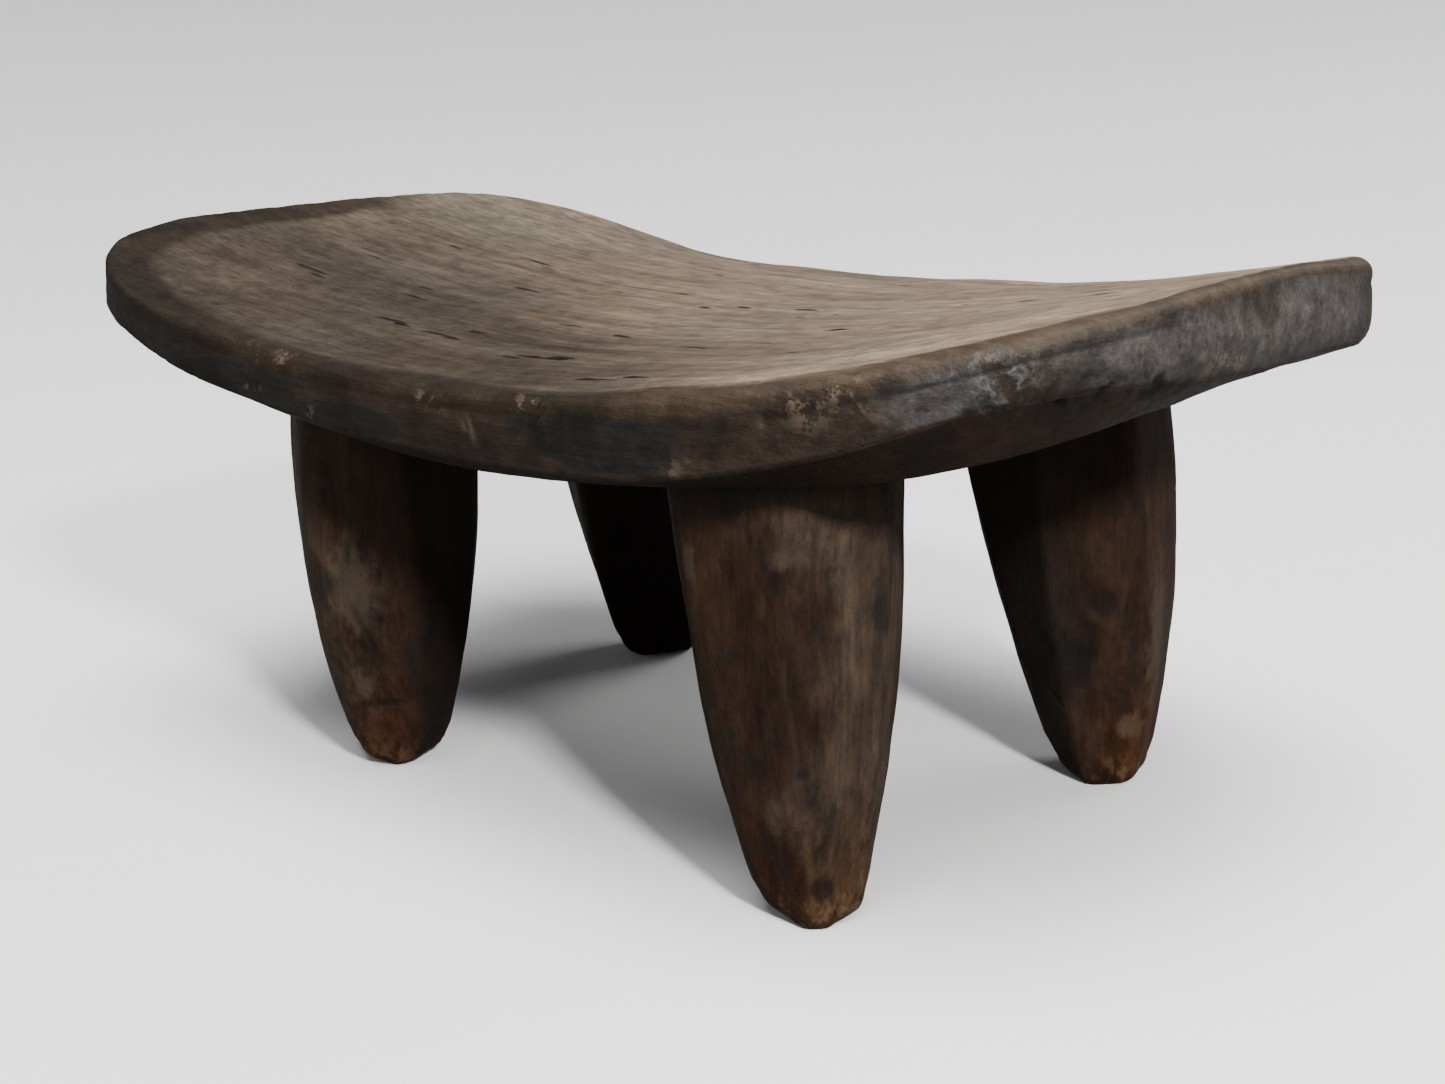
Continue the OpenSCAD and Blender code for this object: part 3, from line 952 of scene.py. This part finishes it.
def leg_wood():
    material, tree, shader = new_wood("leg_wood", 0.14)
    place = node(tree, "ShaderNodeTexCoord").outputs["Object"]
    bands = speckle(tree, stretched(tree, (55, 55, 13)), detail=5)
    fibres = speckle(tree, stretched(tree, (430, 430, 46)), detail=6, rough=0.7)
    patches = speckle(tree, place, scale=22, detail=4, rough=0.6)
    clouds = speckle(tree, stretched(tree, (60, 60, 34)), detail=5, rough=0.65)
    mottle = speckle(tree, stretched(tree, (170, 170, 80)), detail=5, rough=0.7)
    grit = speckle(tree, place, scale=480, detail=3, rough=0.6)

    # Brown wood with a redder side and dark stains.
    reddish = frayed(tree, "red", patches, 1.0, 0.55, 0.85)
    brown = steps(tree, bands, LEG_BROWN)
    colour = blend(tree, reddish, brown, steps(tree, bands, LEG_RED))
    colour = laid(tree, colour, level(tree, clouds, 0.47, 0.36), 0.6, LEG_STAIN)

    # Mottling, grain and raised places.
    mottled = level(tree, mottle, *MOST_NOISE)
    colour = tint(tree, colour, mottled, 0.8, (0.62, 0.60, 0.58), (1.38, 1.32, 1.22))
    fibrous = level(tree, fibres, *MOST_NOISE)
    colour = tint(tree, colour, fibrous, 0.6, (0.62, 0.60, 0.58), (1.35, 1.3, 1.22))
    raised = level(tree, mask(tree, "relief"), *MOST_RELIEF)
    colour = tint(tree, colour, raised, 0.5, (0.60, 0.58, 0.57), (1.4, 1.3, 1.15))

    # Worn places, where the large one on the front left leg is also a painted pool of light, bare
    # wood at the foot and in scratches, and a warm tint low down.
    worn = frayed(tree, "pale_wear_and_light", mottle, 1.8, 0.25, 0.95)
    worn = math_node(tree, "MULTIPLY", worn, level(tree, mask(tree, "pale_wear_and_light"), 0.02, 0.5))
    colour = laid(tree, colour, worn, 0.5, LEG_WEAR_AND_LIGHT)
    ends = math_node(tree, "MAXIMUM", mask(tree, "chip"), scaled(tree, mask(tree, "foot"), 0.7))
    ends = math_node(tree, "MULTIPLY", ends, level(tree, mottle, 0.45, 0.62))
    ends = math_node(tree, "MAXIMUM", ends, mask(tree, "scratch"))
    colour = laid(tree, colour, ends, 0.6, LEG_BARE)
    height = node(tree, "ShaderNodeSeparateXYZ", {0: place}).outputs[2]
    low = level(tree, height, 0.10, 0.01)
    colour = tint(tree, colour, low, 1.0, (0.96, 0.96, 0.96), (1.45, 1.18, 0.92))

    # Dark spots and lines, and painted shade with some dirt just under the board at the shoulder and
    # on the inner side that faces the other legs.
    spots = frayed(tree, "dark", mottle, 0.8, 0.3, 0.7)
    spots = math_node(tree, "MAXIMUM", spots, mask(tree, "line"))
    colour = laid(tree, colour, spots, 0.75, LEG_SPOT)
    shade_and_dirt = math_node(tree, "MAXIMUM", mask(tree, "shoulder_shade"), mask(tree, "inner"))
    colour = laid(tree, colour, shade_and_dirt, 0.8, LEG_SHADE_AND_DIRT)

    tree.links.new(colour, shader.inputs["Base Color"])
    rough = math_node(tree, "ADD", 0.42, scaled(tree, level(tree, mottle, 0.25, 0.75), 0.22))
    tree.links.new(rough, shader.inputs["Roughness"])
    tree.links.new(fibre_bump(tree, fibres, grit, mottle, 0.55), shader.inputs["Normal"])
    return material


# ==================== floor, light and camera
FLOOR_SEEN = (0.90, 0.90, 0.89, 1)     # how pale the floor looks
FLOOR_BOUNCE = (0.16, 0.155, 0.15, 1)  # how much light it throws back up at the dark wood
BOWL_AROUND, BOWL_RINGS = 96, 60
BOWL_FIRST, BOWL_LAST = 0.3, 14.0      # radii of its rings in metres
BOWL_FLAT, BOWL_RISE = 1.6, 4.5        # how far out it is flat, and the last ring's height
LIT_MIDDLE = Vector((0, 0, 0.12))      # where the lights aim

CAMERA_ROUND, CAMERA_UP, CAMERA_ROLL = 41.0, 13.44, -1.4  # degrees
CAMERA_AWAY = 0.8865                   # metres from its target
CAMERA_TARGET = Vector((0, 0, 0.130))
AIM_RIGHT, AIM_DOWN = 0.0049, 0.0256   # how far off the target it aims
LENS, SENSOR = 49.8, 36.0              # millimetres


def add_floor():
    """A pale floor that is flat under the stool and far round it curves up, so that no
    horizon shows. It looks pale, but throws back as little light as a dark one does."""
    points = [(0.0, 0.0, 0.0)]
    for i in range(BOWL_RINGS):
        reach = BOWL_FIRST + (BOWL_LAST - BOWL_FIRST) * (i / (BOWL_RINGS - 1)) ** 1.4
        beyond = max(0.0, (reach - BOWL_FLAT) / (BOWL_LAST - BOWL_FLAT))
        height = BOWL_RISE * beyond**2.2
        for k in range(BOWL_AROUND):
            angle = 2 * math.pi * k / BOWL_AROUND
            points.append((reach * math.cos(angle), reach * math.sin(angle), height))
    faces = [(0, 1 + k, 1 + (k + 1) % BOWL_AROUND) for k in range(BOWL_AROUND)]
    for i, k in itertools.product(range(BOWL_RINGS - 1), range(BOWL_AROUND)):
        beside = (k + 1) % BOWL_AROUND
        row, above = 1 + i * BOWL_AROUND, 1 + (i + 1) * BOWL_AROUND
        faces.append((row + k, above + k, above + beside, row + beside))
    floor = make_piece("floor", np.array(points) / MM, faces)
    material = bpy.data.materials.new("pale_floor")
    material.use_nodes = True
    tree = material.node_tree
    seen = node(tree, "ShaderNodeLightPath").outputs["Is Camera Ray"]
    shader = tree.nodes["Principled BSDF"]
    tree.links.new(blend(tree, seen, FLOOR_BOUNCE, FLOOR_SEEN), shader.inputs["Base Color"])
    shader.inputs["Roughness"].default_value = 0.9
    shader.inputs["Specular IOR Level"].default_value = 0.0
    floor.data.materials.append(material)


def add_softbox(name, place, size, power):
    """A rectangular area light that faces the middle of the stool."""
    light = bpy.data.lights.new(name, "AREA")
    light.shape = "RECTANGLE"
    light.size, light.size_y = size
    light.energy = power
    lamp = bpy.data.objects.new(name, light)
    lamp.location = place
    lamp.rotation_euler = (LIT_MIDDLE - Vector(place)).to_track_quat("-Z", "Y").to_euler()
    bpy.context.scene.collection.objects.link(lamp)


def toward(azimuth, elevation, distance):
    """A place seen from the stool, degrees round from the front towards the right, and up."""
    azimuth, elevation = math.radians(azimuth), math.radians(elevation)
    flat = math.cos(elevation) * distance
    return math.sin(azimuth) * flat, -math.cos(azimuth) * flat, math.sin(elevation) * distance


def add_light():
    """A dim studio with a small key light, a wide one overhead, one behind and a fill."""
    world = bpy.data.worlds.new("studio")
    bpy.context.scene.world = world
    world.use_nodes = True
    shade = world.node_tree.nodes["Background"]
    shade.inputs["Color"].default_value = (0.95, 0.97, 1.0, 1)
    shade.inputs["Strength"].default_value = 0.15
    add_softbox("key", toward(60, 34, 2.4), (0.24, 0.24), 76)
    add_softbox("overhead", (1.2, -1.8, 9.0), (6.0, 6.0), 1500)
    add_softbox("back", toward(158, 36, 6.0), (3.0, 3.0), 120)
    add_softbox("fill", toward(12, 22, 8.0), (4.0, 3.0), 95)


def add_camera():
    """A 50 mm view from the front right, a little above the seat."""
    back = Vector(toward(CAMERA_ROUND, CAMERA_UP, 1.0))
    eye = CAMERA_TARGET + back * CAMERA_AWAY
    right = (-back).cross(Vector((0, 0, 1))).normalized()
    up = right.cross(-back)
    aim = CAMERA_TARGET + right * AIM_RIGHT - up * AIM_DOWN
    data = bpy.data.cameras.new("camera")
    data.lens, data.sensor_width = LENS, SENSOR
    camera = bpy.data.objects.new("camera", data)
    turn = (aim - eye).to_track_quat("-Z", "Y").to_matrix().to_4x4()
    roll = Matrix.Rotation(math.radians(CAMERA_ROLL), 4, "Z")
    camera.matrix_world = Matrix.Translation(eye) @ turn @ roll
    bpy.context.scene.collection.objects.link(camera)
    bpy.context.scene.camera = camera


# ==================== the whole scene
add_camera()
add_light()
add_floor()

seat = carve_seat()
seat.data.materials.append(seat_wood())
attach(seat, "root")
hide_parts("seat")

legs_wood = leg_wood()
for leg_name, leg_plan in LEGS.items():
    leg = carve_leg(leg_name, leg_plan)
    leg.data.materials.append(legs_wood)
    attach(leg, "root")
    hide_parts(leg_name)
